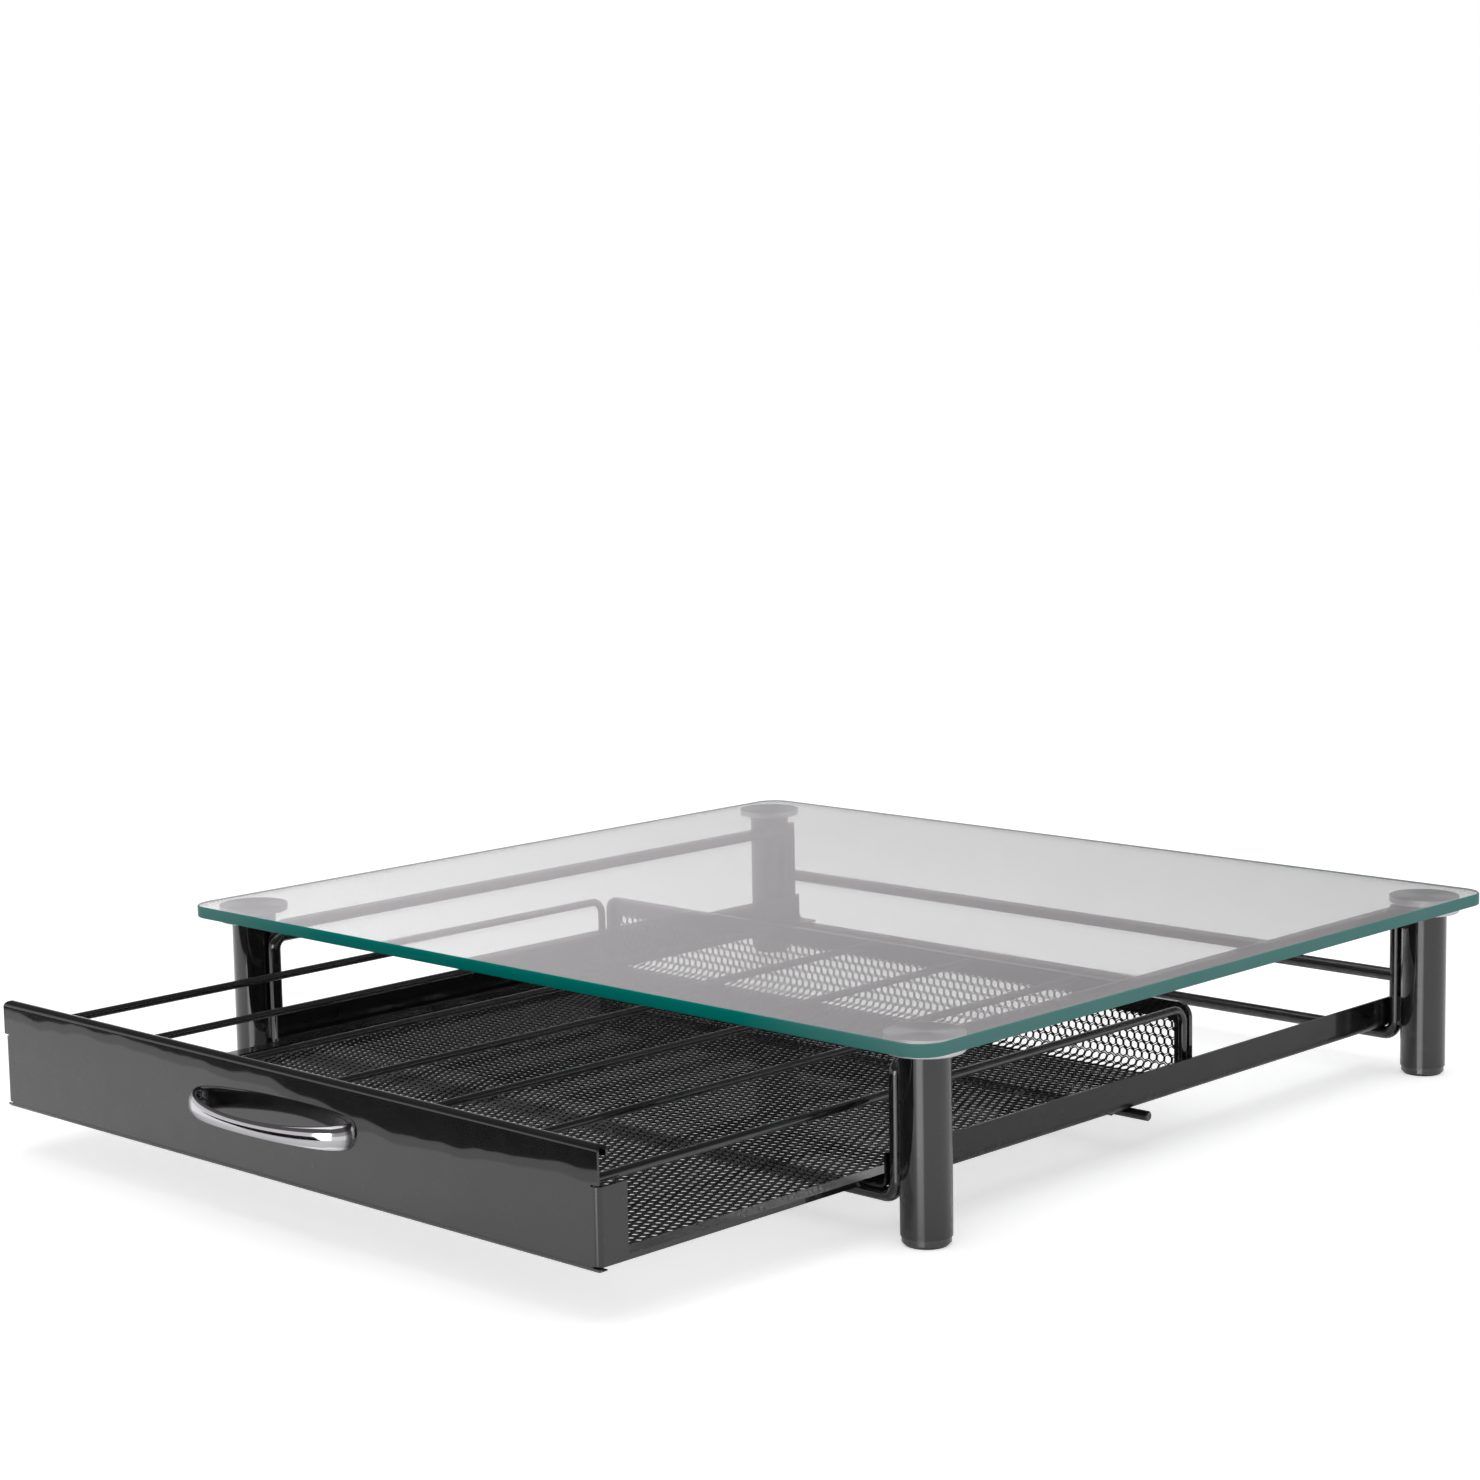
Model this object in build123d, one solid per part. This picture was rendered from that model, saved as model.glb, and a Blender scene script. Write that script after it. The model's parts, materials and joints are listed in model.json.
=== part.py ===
from build123d import *

import os
from math import cos, pi, sin, sqrt

# Coffee pod drawer: a glass-topped stand on four legs with a sliding basket.
# Millimetres, +Z up, the drawer opens towards -Y.  Pieces are built about the
# middle of the glass and then moved together so that the origin is the bottom
# centre of the whole outline with the drawer in its photographed, part open place.

os.makedirs("parts", exist_ok=True)

# Lanes and basket width: the pods set the width of everything else
lane_count = 6
lane_pitch = 56.0
lane_rod_diameter = 3.0
side_rod_diameter = 3.4
side_rod_x = lane_count * lane_pitch / 2
hem_overhang = 0.6
basket_half_width = side_rod_x + hem_overhang

# Gauges and clearances
panel_sheet = 1.0
rail_thickness = 1.0
rod_diameter = 5.5
rod_radius = rod_diameter / 2
slide_clearance = 0.3
stop_clearance = 0.3
panel_overhang = 2.9
rail_side_clearance = 2.7
tab_gap = 1.3
plug_fit = 0.05
clip_side_clearance = 0.4

# Widths, from the drawer outwards
panel_half_width = basket_half_width + panel_overhang
rail_outer_x = panel_half_width + rail_side_clearance + rail_thickness
frame_x = rail_outer_x + rod_radius

# Legs, foot plugs, inserts
leg_diameter = 19.0
leg_wall = 1.2
foot_height = 3.5
foot_diameter = 18.0
foot_stem_height = 9.0
foot_bevel = 1.2
insert_height = 11.0
leg_x = frame_x + rod_radius + tab_gap + leg_diameter / 2

# Glass top
leg_inset_x = 18.5
leg_inset_y = 21.95
glass_width = 2 * (leg_x + leg_inset_x)
glass_depth = 372.0
glass_thickness = 5.0
glass_corner_radius = 11.5
glass_edge_bevel = 0.6
stand_height = 78.0
glass_underside = stand_height - glass_thickness
leg_y = glass_depth / 2 - leg_inset_y

# Bonding discs and their studs
disc_thickness = 2.7
disc_diameter = 29.4
disc_edge_bevel = 0.4
stud_diameter = 6.0
stud_length = 9.0
leg_top = glass_underside - disc_thickness

# Round rod frames of the stand
frame_bottom = 14.75
frame_drop = 6.05
frame_top = leg_top - frame_drop
frame_bend_radius = 5.5
frame_tail = 14.0
rear_bar_z = 40.6

# Slide rails and weld tabs
rail_low = frame_bottom + rod_radius
rail_height = 13.2
rail_lip = 12.0
rail_bend_radius = 2.9
rail_half_length = leg_y + rod_radius
tab_rise = 1.9
tab_height = 12.6
tab_thickness = 4.0
tab_low = rail_low + tab_rise

# Drawer basket
basket_depth = 332.0
rest_opening = 133.0
basket_low = rail_low + rail_thickness + slide_clearance
hem_thickness = 2.0
hem_leaf = 0.6
hem_width = 7.5
hem_edge = 0.9
net_thickness = hem_thickness - 2 * hem_leaf
net_level = basket_low + hem_thickness / 2
back_plane = leg_y - rod_radius - stop_clearance - hem_thickness / 2 - rest_opening
back_height = 31.9
back_top = basket_low + back_height
back_corner_radius = 6.0
floor_bend_radius = 7.0
net_pitch = 28.0
net_strand = 5.4
net_border = 2.0
corner_rim = 1.6

# Drawer front panel
panel_front = back_plane - basket_depth
panel_low = basket_low - panel_sheet
panel_height = 43.5
panel_top = panel_low + panel_height
panel_lip = 5.0
panel_lip_drop = 3.6
panel_hem = 4.5
panel_bend_radius = 1.9
panel_corner_radius = 2.5
flange_rise = 2.6
flange_height = 26.7
flange_depth = 13.5
flange_relief = 0.8
flange_low = panel_low + flange_rise
flange_high = flange_low + flange_height
panel_back = panel_front + panel_sheet
floor_front = panel_back + panel_bend_radius - panel_sheet / 2

# Rods of the drawer
top_rod_drop = 1.4
top_rod_z = back_top - top_rod_drop
side_rod_bend_radius = 6.0
side_rod_back_gap = 2.0
side_rod_bend_y = back_plane - hem_thickness / 2 - side_rod_back_gap - side_rod_diameter / 2
stop_rod_diameter = 4.0
stop_rod_from_back = 44.8
stop_rod_end_inset = 1.0
stop_rod_bevel = 0.5
stop_rod_y = back_plane - stop_rod_from_back
stop_rod_half_length = leg_x - leg_diameter / 2 - stop_rod_end_inset
stop_rod_z = rail_low - slide_clearance - stop_rod_diameter / 2
clip_thickness = 0.8
clip_width = 5.4
clip_flange = 12.0
clip_outer_x = rail_outer_x - rail_lip - clip_side_clearance

# Handle
handle_half_span = 45.0
handle_reach = 16.0
handle_rise = 2.55
handle_end_height = 9.6
handle_mid_height = 5.7
handle_end_thickness = 4.6
handle_mid_thickness = 2.8
handle_section_count = 29
handle_z = panel_low + panel_height / 2 + handle_rise
screw_diameter = 2.4
screw_bite = 3.4
screw_inset = 2.9
screw_x = handle_half_span - screw_inset
screw_head_diameter = 5.0
screw_head_height = 1.8
screw_head_bevel = 0.5
screw_hole_diameter = 2.8

origin_y = (glass_depth / 2 + panel_front - handle_reach) / 2


def save(name, shape):
    """Write one piece to its own file, moved into the shared frame."""
    placed = Pos(0, -origin_y, 0) * shape
    placed.label = name
    export_step(placed, f"parts/{name}.step")


def straight_rod(start, end, diameter):
    """Round rod between two points."""
    line = Line(start, end)
    section = Plane(origin=line @ 0, z_dir=line % 0) * Circle(diameter / 2)
    return sweep(section, path=line)


def bent_rod(points, bend_radius, diameter):
    """Round rod that follows points, rounded at every corner."""
    path = FilletPolyline(*points, radius=bend_radius)
    section = Plane(origin=path @ 0, z_dir=path % 0) * Circle(diameter / 2)
    return sweep(section, path=path)


def bent_sheet(plane, points, bend_radius, thickness, length):
    """Sheet whose centre line follows points in a plane, drawn out both ways."""
    path = FilletPolyline(*points, radius=bend_radius)
    profile = plane * trace(path, line_width=thickness)
    return extrude(profile, amount=length / 2, both=True)


def box_between(low, high):
    """Box from its low corner to its high corner."""
    size = [high[i] - low[i] for i in range(3)]
    middle = [(high[i] + low[i]) / 2 for i in range(3)]
    return Pos(*middle) * Box(*size)


def mirrored(shape):
    """The same piece on the other side of the drawer."""
    return mirror(shape, about=Plane.YZ)


def glass_top():
    """Plate with rounded corners and small bevels all round."""
    plate = extrude(RectangleRounded(glass_width, glass_depth, glass_corner_radius), glass_thickness)
    top_edges = plate.faces().sort_by(Axis.Z)[-1].edges()
    low_edges = plate.faces().sort_by(Axis.Z)[0].edges()
    plate = chamfer(top_edges + low_edges, glass_edge_bevel)
    return Pos(0, 0, glass_underside) * plate


def upright_cylinder(diameter, height, base):
    """Cylinder on the Z axis that stands on a given height."""
    align = (Align.CENTER, Align.CENTER, Align.MIN)
    return Pos(0, 0, base) * Cylinder(diameter / 2, height, align=align)


def bonding_disc():
    """Disc between the glass and the top of a leg."""
    disc = upright_cylinder(disc_diameter, disc_thickness, leg_top)
    return chamfer(disc.edges().sort_by(Axis.Z)[0], disc_edge_bevel)


def disc_stud():
    """Stud that joins a disc to the insert in the leg."""
    return upright_cylinder(stud_diameter, stud_length, leg_top - stud_length)


def leg_insert():
    """Round nut pressed into the top of a leg."""
    diameter = leg_diameter - 2 * leg_wall - 2 * plug_fit
    body = upright_cylinder(diameter, insert_height, leg_top - insert_height)
    return body - upright_cylinder(stud_diameter, insert_height, leg_top - insert_height)


def leg_tube():
    """Straight tube from the foot plug to the disc."""
    length = leg_top - foot_height
    tube = upright_cylinder(leg_diameter, length, foot_height)
    return tube - upright_cylinder(leg_diameter - 2 * leg_wall, length, foot_height)


def foot_plug():
    """Plastic plug: a round pad below the tube and a stem inside it."""
    pad = upright_cylinder(foot_diameter, foot_height, 0)
    pad = chamfer(pad.edges().sort_by(Axis.Z)[0], foot_bevel)
    stem_diameter = leg_diameter - 2 * leg_wall - 2 * plug_fit
    return pad + upright_cylinder(stem_diameter, foot_stem_height, foot_height)


def front_frame():
    """U of round rod whose tops bend back under the glass."""
    tail_y = frame_tail - leg_y
    points = [
        (-frame_x, tail_y, frame_top),
        (-frame_x, -leg_y, frame_top),
        (-frame_x, -leg_y, frame_bottom),
        (frame_x, -leg_y, frame_bottom),
        (frame_x, -leg_y, frame_top),
        (frame_x, tail_y, frame_top),
    ]
    return bent_rod(points, frame_bend_radius, rod_diameter)


def rear_frame():
    """U of round rod with plain uprights."""
    upright_top = frame_top + rod_radius
    points = [
        (-frame_x, leg_y, upright_top),
        (-frame_x, leg_y, frame_bottom),
        (frame_x, leg_y, frame_bottom),
        (frame_x, leg_y, upright_top),
    ]
    return bent_rod(points, frame_bend_radius, rod_diameter)


def top_rod(rear):
    """Right-hand rod under the glass, cut to sit against the rear upright."""
    start = (frame_x, frame_tail - leg_y, frame_top)
    return straight_rod(start, (frame_x, leg_y, frame_top), rod_diameter) - rear


def rear_upper_bar(rear):
    """Straight rod between the rear uprights, where the closed drawer stops."""
    bar = straight_rod((-frame_x, leg_y, rear_bar_z), (frame_x, leg_y, rear_bar_z), rod_diameter)
    return bar - rear


def slide_rail():
    """Right-hand rail: an upright web with an inward lip."""
    web_x = rail_outer_x - rail_thickness / 2
    lip_z = rail_low + rail_thickness / 2
    points = [(web_x, rail_low + rail_height), (web_x, lip_z), (rail_outer_x - rail_lip, lip_z)]
    return bent_sheet(Plane.XZ, points, rail_bend_radius, rail_thickness, 2 * rail_half_length)


def weld_tab(y):
    """Block that fills the gap between an upright and its leg."""
    low = (frame_x, y - tab_thickness / 2, tab_low)
    high = (leg_x, y + tab_thickness / 2, tab_low + tab_height)
    tall = 3 * stand_height
    block = box_between(low, high)
    block -= Pos(frame_x, y, 0) * Cylinder(rod_radius, tall)
    block -= Pos(leg_x, y, 0) * Cylinder(leg_diameter / 2, tall)
    return block


def handle_section(angle):
    """Half-moon section of the bow, square to its elliptical line."""
    share = abs(cos(angle))
    height = handle_mid_height + (handle_end_height - handle_mid_height) * share**2
    thickness = handle_mid_thickness + (handle_end_thickness - handle_mid_thickness) * share**2
    outer = Vector(handle_half_span * cos(angle), panel_front - handle_reach * sin(angle), handle_z)
    along = Vector(-handle_half_span * sin(angle), -handle_reach * cos(angle), 0).normalized()
    inward = along.cross(Vector(0, 0, 1))
    place = Plane(origin=outer, x_dir=inward, z_dir=along)
    bulge = thickness
    arc = ThreePointArc((bulge, -height / 2), (0, 0), (bulge, height / 2))
    back = Line((bulge, height / 2), (bulge, -height / 2))
    return place * make_face([arc, back])


def drawer_handle():
    """Bow handle with two blind holes in its feet."""
    last = handle_section_count - 1
    sections = [handle_section(pi * i / last) for i in range(handle_section_count)]
    bow = loft(sections, ruled=True)
    for side in (-1, 1):
        hole = Pos(side * screw_x, panel_front, handle_z) * Rot(90, 0, 0)
        bow -= hole * Cylinder(screw_diameter / 2, 2 * screw_bite)
    return bow


def handle_screw(side):
    """Pan-head screw from behind the panel into a foot of the handle."""
    length = panel_sheet + screw_bite
    place = Pos(side * screw_x, panel_back, handle_z) * Rot(90, 0, 0)
    shank = upright_cylinder(screw_diameter, length, 0)
    head = upright_cylinder(screw_head_diameter, screw_head_height, -screw_head_height)
    head = chamfer(head.edges().sort_by(Axis.Z)[0], screw_head_bevel)
    return place * (shank + head)


def side_flange():
    """Right-hand flange of the panel, bent back from the face."""
    sheet_y = panel_front + panel_sheet / 2
    flange_x = panel_half_width - panel_sheet / 2
    start_x = flange_x - panel_bend_radius - flange_relief
    points = [(start_x, sheet_y), (flange_x, sheet_y), (flange_x, panel_front + flange_depth)]
    height = flange_high - flange_low
    flange = bent_sheet(Plane.XY, points, panel_bend_radius, panel_sheet, height)
    return Pos(0, 0, (flange_high + flange_low) / 2) * flange


def drawer_front():
    """Bent sheet panel: rolled lip, bottom hem, side flanges, screw holes."""
    sheet_y = panel_front + panel_sheet / 2
    low_z = panel_low + panel_sheet / 2
    top_z = panel_top - panel_sheet / 2
    lip_y = panel_front + panel_lip - panel_sheet / 2
    points = [
        (panel_front + panel_hem, low_z),
        (sheet_y, low_z),
        (sheet_y, top_z),
        (lip_y, top_z),
        (lip_y, top_z - panel_lip_drop),
    ]
    panel = bent_sheet(Plane.YZ, points, panel_bend_radius, panel_sheet, 2 * panel_half_width)
    face_height = panel_top - panel_low
    outline = RectangleRounded(2 * panel_half_width, face_height, panel_corner_radius)
    mask = Pos(0, panel_front, panel_low + face_height / 2) * (Plane.XZ * outline)
    panel &= extrude(mask, amount=2 * panel_lip, both=True)
    notch_x = panel_half_width - panel_sheet / 2 - panel_bend_radius - flange_relief
    low = (notch_x, panel_front - panel_sheet, flange_low - flange_relief)
    high = (panel_half_width + panel_sheet, panel_back + panel_sheet, flange_high + flange_relief)
    notch = box_between(low, high)
    panel = panel - notch - mirrored(notch)
    flange = side_flange()
    panel = panel + flange + mirrored(flange)
    for side in (-1, 1):
        hole = Pos(side * screw_x, sheet_y, handle_z) * Rot(90, 0, 0)
        panel -= hole * Cylinder(screw_hole_diameter / 2, 2 * panel_sheet)
    return panel


def basket_curve(thickness, y_start, z_end):
    """Band in the YZ plane: floor, rear bend and a stretch of the back wall."""
    points = [(y_start, net_level), (back_plane, net_level), (back_plane, z_end)]
    return Plane.YZ * trace(FilletPolyline(*points, radius=floor_bend_radius), line_width=thickness)


def floor_side_hem():
    """Right-hand folded edge strip along the floor and round the rear bend."""
    bend_top = net_level + floor_bend_radius
    outer = extrude(basket_curve(hem_thickness, floor_front, bend_top + hem_edge), amount=hem_width)
    slot_band = basket_curve(net_thickness, floor_front - hem_edge, bend_top + 2 * hem_edge)
    slot = extrude(slot_band, amount=hem_width)
    hem = Pos(basket_half_width - hem_width, 0, 0) * outer
    hem -= Pos(basket_half_width - hem_width - hem_edge, 0, 0) * slot
    cut_low = (0, back_plane - floor_bend_radius, bend_top)
    cut_high = (2 * basket_half_width, back_plane + floor_bend_radius, back_top)
    return hem - box_between(cut_low, cut_high)


def floor_front_hem():
    """Folded strip along the front edge of the floor."""
    half = basket_half_width - hem_width
    strip_low = (-half, floor_front, basket_low)
    strip_high = (half, floor_front + hem_width, basket_low + hem_thickness)
    strip = box_between(strip_low, strip_high)
    slot_low = (-half, floor_front + hem_edge, basket_low + hem_leaf)
    slot_high = (half, floor_front + 2 * hem_width, basket_low + hem_thickness - hem_leaf)
    return strip - box_between(slot_low, slot_high)


def wall_outline(inset, top_inset, radius):
    """Outline of the back wall in its own plane, square at the foot."""
    foot = net_level + floor_bend_radius
    half = basket_half_width - inset
    top = back_top - top_inset
    tall = top - foot + 2 * radius
    sketch = Pos(0, top - tall / 2) * RectangleRounded(2 * half, tall, radius)
    keep = Pos(0, foot + tall) * Rectangle(4 * half, 2 * tall)
    return sketch & keep


def back_frame():
    """Folded strip round the back wall, open at the foot."""
    outer = wall_outline(0, 0, back_corner_radius)
    inner = wall_outline(hem_width, hem_width, back_corner_radius / 3)
    slot = wall_outline(hem_edge, hem_edge, back_corner_radius - hem_edge)
    frame = extrude(Plane.XZ * (outer - inner), amount=hem_thickness / 2, both=True)
    frame -= extrude(Plane.XZ * slot, amount=net_thickness / 2, both=True)
    return Pos(0, back_plane, 0) * frame


def expanded_net(plate, width, height, middle):
    """Sheet with hexagonal gaps inside a window of the given size."""
    row_pitch = net_pitch * sqrt(3) / 2
    cell_radius = (net_pitch - net_strand) / sqrt(3)
    window = Pos(0, middle) * Rectangle(width, height)
    rows = int(height / row_pitch / 2) + 1
    columns = int(width / net_pitch / 2) + 1
    cells = []
    for row in range(-rows, rows + 1):
        for column in range(-columns, columns + 1):
            x = (column + 0.5 * (row % 2)) * net_pitch
            y = row * row_pitch
            near_side = abs(x) > width / 2 + cell_radius / 2
            near_end = abs(y) > height / 2 + cell_radius / 2
            if not near_side and not near_end:
                cells.append(Pos(x, middle + y) * RegularPolygon(cell_radius, 6, rotation=30))
    return (plate - window) + (window - cells)


def basket_floor_net():
    """Flat floor of the basket: expanded net, drawn coarse."""
    half = basket_half_width - hem_edge
    y_low = floor_front + hem_edge
    y_high = back_plane - floor_bend_radius
    middle = (y_low + y_high) / 2
    plate = Pos(0, middle) * Rectangle(2 * half, y_high - y_low)
    clear_width = 2 * (basket_half_width - hem_width - net_border)
    clear_depth = y_high - y_low - 2 * (hem_width + net_border - hem_edge)
    sheet = expanded_net(plate, clear_width, clear_depth, middle)
    return Pos(0, 0, net_level) * extrude(sheet, amount=net_thickness / 2, both=True)


def basket_corner_net():
    """Rounded bend between floor and back wall, with upright slots."""
    bend_top = net_level + floor_bend_radius
    band = basket_curve(net_thickness, back_plane - 2 * floor_bend_radius, bend_top + floor_bend_radius)
    half = basket_half_width - hem_edge
    bend = extrude(band, amount=half, both=True)
    low = (-2 * half, back_plane - floor_bend_radius, 0)
    bend &= box_between(low, (2 * half, back_plane + floor_bend_radius, bend_top))
    slot_width = net_pitch - net_strand
    slot_low = (-slot_width / 2, back_plane - floor_bend_radius + corner_rim, 0)
    slot_high = (slot_width / 2, back_plane + floor_bend_radius, bend_top - corner_rim)
    slot = box_between(slot_low, slot_high)
    clear_width = 2 * (basket_half_width - hem_width - net_border)
    count = int((clear_width - slot_width) / net_pitch) + 1
    slots = [Pos((i - (count - 1) / 2) * net_pitch, 0, 0) * slot for i in range(count)]
    return bend - slots


def basket_back_net():
    """Upright back wall of the basket: expanded net, drawn coarse."""
    foot = net_level + floor_bend_radius
    plate = wall_outline(hem_edge, hem_edge, back_corner_radius - hem_edge)
    clear_width = 2 * (basket_half_width - hem_width - net_border)
    clear_height = back_top - hem_width - foot - 2 * net_border
    middle = foot + net_border + clear_height / 2
    sheet = expanded_net(plate, clear_width, clear_height, middle)
    wall = extrude(Plane.XZ * sheet, amount=net_thickness / 2, both=True)
    return Pos(0, back_plane, 0) * wall


def side_top_rail(frame):
    """Right-hand rod from the panel to the back, bent down to the floor."""
    floor_band = extrude(basket_curve(hem_thickness, floor_front, back_top), amount=2 * basket_half_width)
    points = [
        (side_rod_x, panel_back, top_rod_z),
        (side_rod_x, side_rod_bend_y, top_rod_z),
        (side_rod_x, side_rod_bend_y, basket_low + hem_thickness),
    ]
    return bent_rod(points, side_rod_bend_radius, side_rod_diameter) - floor_band - frame


def lane_bar(index):
    """Straight rod between two lanes, from the panel to the back frame."""
    x = (index - lane_count / 2) * lane_pitch
    back = back_plane - hem_thickness / 2
    return straight_rod((x, panel_back, top_rod_z), (x, back, top_rod_z), lane_rod_diameter)


def stop_rod():
    """Rod across the underside that meets the front bar."""
    start = (-stop_rod_half_length, stop_rod_y, stop_rod_z)
    end = (stop_rod_half_length, stop_rod_y, stop_rod_z)
    rod = straight_rod(start, end, stop_rod_diameter)
    return chamfer(rod.edges().filter_by(GeomType.CIRCLE), stop_rod_bevel)


def stop_rod_clip():
    """Right-hand hook clip round the back of the stop rod."""
    inner = stop_rod_diameter / 2
    outer = inner + clip_thickness
    hook = Cylinder(outer, clip_width) - Cylinder(inner, clip_width)
    hook &= Pos(outer, 0, 0) * Box(2 * outer, 4 * outer, 2 * clip_width)
    hook = Pos(clip_outer_x - clip_width / 2, stop_rod_y, stop_rod_z) * Rot(0, -90, 90) * hook
    low = (clip_outer_x - clip_width, stop_rod_y - clip_flange / 2, basket_low - clip_thickness)
    high = (clip_outer_x, stop_rod_y + clip_flange / 2, basket_low)
    flange = box_between(low, high)
    neck_low = (clip_outer_x - clip_width, stop_rod_y - inner / 2, stop_rod_z + inner)
    neck = box_between(neck_low, (clip_outer_x, stop_rod_y + inner, basket_low))
    rod = Pos(0, stop_rod_y, stop_rod_z) * Rot(0, 90, 0) * Cylinder(inner, 4 * stop_rod_half_length)
    return hook + flange + (neck - rod)


save("glass_top", glass_top())

corners = {
    "front_left": (-leg_x, -leg_y),
    "front_right": (leg_x, -leg_y),
    "rear_left": (-leg_x, leg_y),
    "rear_right": (leg_x, leg_y),
}
for corner, (x, y) in corners.items():
    save(f"bonding_disc_{corner}", Pos(x, y, 0) * bonding_disc())
    save(f"leg_{corner}", Pos(x, y, 0) * leg_tube())
    save(f"foot_{corner}", Pos(x, y, 0) * foot_plug())
save("disc_studs", Compound([Pos(x, y, 0) * disc_stud() for x, y in corners.values()]))
save("leg_inserts", Compound([Pos(x, y, 0) * leg_insert() for x, y in corners.values()]))

rear = rear_frame()
right_top_rod = top_rod(rear)
right_rail = slide_rail()
save("front_frame", front_frame())
save("rear_frame", rear)
save("top_rod_right", right_top_rod)
save("top_rod_left", mirrored(right_top_rod))
save("rear_upper_bar", rear_upper_bar(rear))
save("slide_rail_right", right_rail)
save("slide_rail_left", mirrored(right_rail))
right_tabs = [weld_tab(-leg_y), weld_tab(leg_y)]
left_tabs = [mirrored(tab) for tab in right_tabs]
save("frame_weld_tabs", Compound(right_tabs + left_tabs))

wall_frame = back_frame()
side_hem = floor_side_hem()
bend_low = (0, back_plane - floor_bend_radius, 0)
bend_high = (2 * basket_half_width, back_plane + floor_bend_radius, back_top)
right_corner_hem = side_hem & box_between(bend_low, bend_high)
right_hem = side_hem - box_between(bend_low, bend_high)
right_side_rail = side_top_rail(wall_frame)
right_clip = stop_rod_clip()
save("drawer_front", drawer_front())
save("drawer_handle", drawer_handle())
save("handle_screws", Compound([handle_screw(-1), handle_screw(1)]))
save("basket_floor_net", basket_floor_net())
save("basket_corner_net", basket_corner_net())
save("basket_back_net", basket_back_net())
save("basket_back_frame", wall_frame)
save("floor_hem_right", right_hem)
save("floor_hem_left", mirrored(right_hem))
save("corner_hem_right", right_corner_hem)
save("corner_hem_left", mirrored(right_corner_hem))
save("floor_hem_front", floor_front_hem())
save("side_top_rail_right", right_side_rail)
save("side_top_rail_left", mirrored(right_side_rail))
for index in range(1, lane_count):
    save(f"lane_bar_{index}", lane_bar(index))
save("stop_rod", stop_rod())
save("stop_rod_clips", Compound([right_clip, mirrored(right_clip)]))
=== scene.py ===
import json
import logging
import math
from dataclasses import dataclass
from enum import Enum
from typing import Any, Callable, Mapping, Optional, Sequence

import bpy
from mathutils import Matrix, Vector


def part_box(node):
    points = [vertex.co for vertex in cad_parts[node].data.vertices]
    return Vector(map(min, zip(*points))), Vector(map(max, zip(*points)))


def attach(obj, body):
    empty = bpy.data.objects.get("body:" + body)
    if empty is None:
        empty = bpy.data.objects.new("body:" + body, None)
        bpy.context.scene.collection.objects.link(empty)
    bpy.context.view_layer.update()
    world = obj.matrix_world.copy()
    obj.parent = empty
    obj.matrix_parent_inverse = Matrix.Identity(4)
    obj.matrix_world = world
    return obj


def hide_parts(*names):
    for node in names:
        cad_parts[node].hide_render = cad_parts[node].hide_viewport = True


# Coffee pod drawer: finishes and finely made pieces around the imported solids.
# Metres, +Z up, the drawer opens towards -Y.

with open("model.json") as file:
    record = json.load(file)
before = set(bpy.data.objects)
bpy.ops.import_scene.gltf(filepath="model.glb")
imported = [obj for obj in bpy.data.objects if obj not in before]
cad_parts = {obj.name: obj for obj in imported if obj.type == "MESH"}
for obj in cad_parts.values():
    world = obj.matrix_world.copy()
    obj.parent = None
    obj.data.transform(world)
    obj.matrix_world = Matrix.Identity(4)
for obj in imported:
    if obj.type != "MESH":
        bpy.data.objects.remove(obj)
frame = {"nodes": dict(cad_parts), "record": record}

MM = 0.001
# Two heights closer than this count as one.
LEVEL = 0.1 * MM
# A face whose normal points up or down more than this counts as level.
LEVEL_FACE = 0.999
# Most values of a noise lie in this span.
NOISE_SPAN = (0.3, 0.7)
logging.basicConfig(level=logging.INFO, format="%(name)s: %(message)s")
log = logging.getLogger("pod_drawer")

Point = tuple[float, float, float]
Pair = tuple[float, float]
Output = tuple[bpy.types.Node, Any]
Settings = Mapping[Any, Any]
Links = Mapping[Any, Output]


class Body(Enum):
    """The two bodies that move against each other."""

    STAND = "stand"
    DRAWER = "drawer"


class Slot(Enum):
    """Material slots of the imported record."""

    GLASS = "clear_glass"
    DISC = "brushed_disc"
    PAINT = "black_gloss_metal"
    PLASTIC = "black_plastic"
    ZINC = "zinc_steel"
    CHROME = "chrome"


class Domain(Enum):
    """What a selection in edit mode is made of."""

    EDGE = (False, True, False)
    FACE = (False, False, True)


def linear(code: str) -> tuple[float, float, float, float]:
    """Turn an sRGB hex colour into a linear one.

    Args:
        code: Six hex digits after a hash sign.

    Returns:
        Linear red, green, blue and an alpha of 1.
    """
    parts = [int(code[i : i + 2], 16) / 255 for i in (1, 3, 5)]
    red, green, blue = (c / 12.92 if c <= 0.04045 else ((c + 0.055) / 1.055) ** 2.4 for c in parts)
    return red, green, blue, 1.0


def add_node(
    tree: bpy.types.NodeTree,
    kind: str,
    settings: Optional[Settings] = None,
    links: Optional[Links] = None,
) -> bpy.types.Node:
    """Add one node with its settings and links.

    Args:
        tree: The node tree that takes it.
        kind: Blender's name of the node type.
        settings: Attributes, or else input sockets, with their values.
        links: Input sockets with the node and output that feed them.

    Returns:
        The new node.
    """
    node = tree.nodes.new(kind)
    for key, value in (settings or {}).items():
        if isinstance(key, str) and hasattr(node, key):
            setattr(node, key, value)
        else:
            node.inputs[key].default_value = value
    for key, (source, output) in (links or {}).items():
        tree.links.new(source.outputs[output], node.inputs[key])
    return node


def deselect_all() -> None:
    """Leave nothing selected."""
    bpy.ops.object.select_all(action="DESELECT")


def make_active(piece: bpy.types.Object) -> None:
    """Select one piece alone and make it the active one."""
    deselect_all()
    piece.select_set(True)
    bpy.context.view_layer.objects.active = piece


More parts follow.
